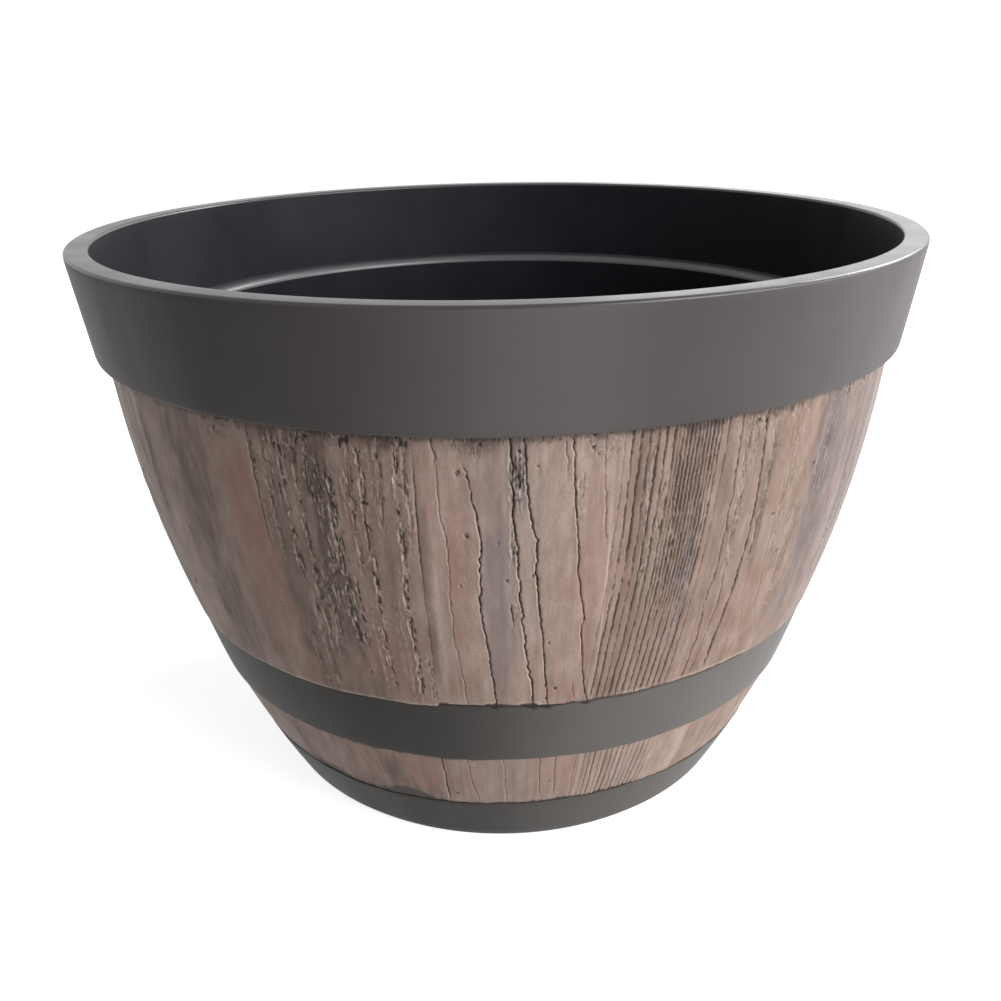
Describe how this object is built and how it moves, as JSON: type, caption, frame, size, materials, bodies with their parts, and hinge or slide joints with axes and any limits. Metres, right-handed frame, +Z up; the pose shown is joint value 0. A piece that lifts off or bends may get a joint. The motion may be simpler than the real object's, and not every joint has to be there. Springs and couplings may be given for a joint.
{
  "type": "barrel planter",
  "caption": "Round floor planter shaped as a half barrel, with a flared rim band, wood-effect belly, hoops and lift-out drain plugs.",
  "frame": {"origin": "on the ground at the middle of the base", "axes": "+Z up along the planter's axis of revolution; -Y is the side that the picture shows"},
  "size_m": [0.3794, 0.3794, 0.261],
  "materials": {
    "black_plastic": "smooth satin, near black",
    "wood_effect_plastic": "moulded wood grain, tan with dark brown and grey-blue stains",
    "band_plastic": "smooth satin, dark grey-brown",
    "plug_rubber": "matt, black"
  },
  "bodies": {
    "planter": {"inner_pot": "black_plastic", "barrel_shell": "wood_effect_plastic", "rim_band": "band_plastic", "middle_hoop": "band_plastic", "base_ring": "band_plastic"},
    "plug_1": {"drain_plug_1": "plug_rubber"},
    "plug_2": {"drain_plug_2": "plug_rubber"},
    "plug_3": {"drain_plug_3": "plug_rubber"},
    "plug_4": {"drain_plug_4": "plug_rubber"}
  },
  "joints": [
    {"name": "plug_1_lift", "type": "slide", "parent": "planter", "child": "plug_1", "axis": [0, 0, 1], "range_m": [0, 0.04]},
    {"name": "plug_2_lift", "type": "slide", "parent": "planter", "child": "plug_2", "axis": [0, 0, 1], "range_m": [0, 0.04]},
    {"name": "plug_3_lift", "type": "slide", "parent": "planter", "child": "plug_3", "axis": [0, 0, 1], "range_m": [0, 0.04]},
    {"name": "plug_4_lift", "type": "slide", "parent": "planter", "child": "plug_4", "axis": [0, 0, 1], "range_m": [0, 0.04]}
  ]
}
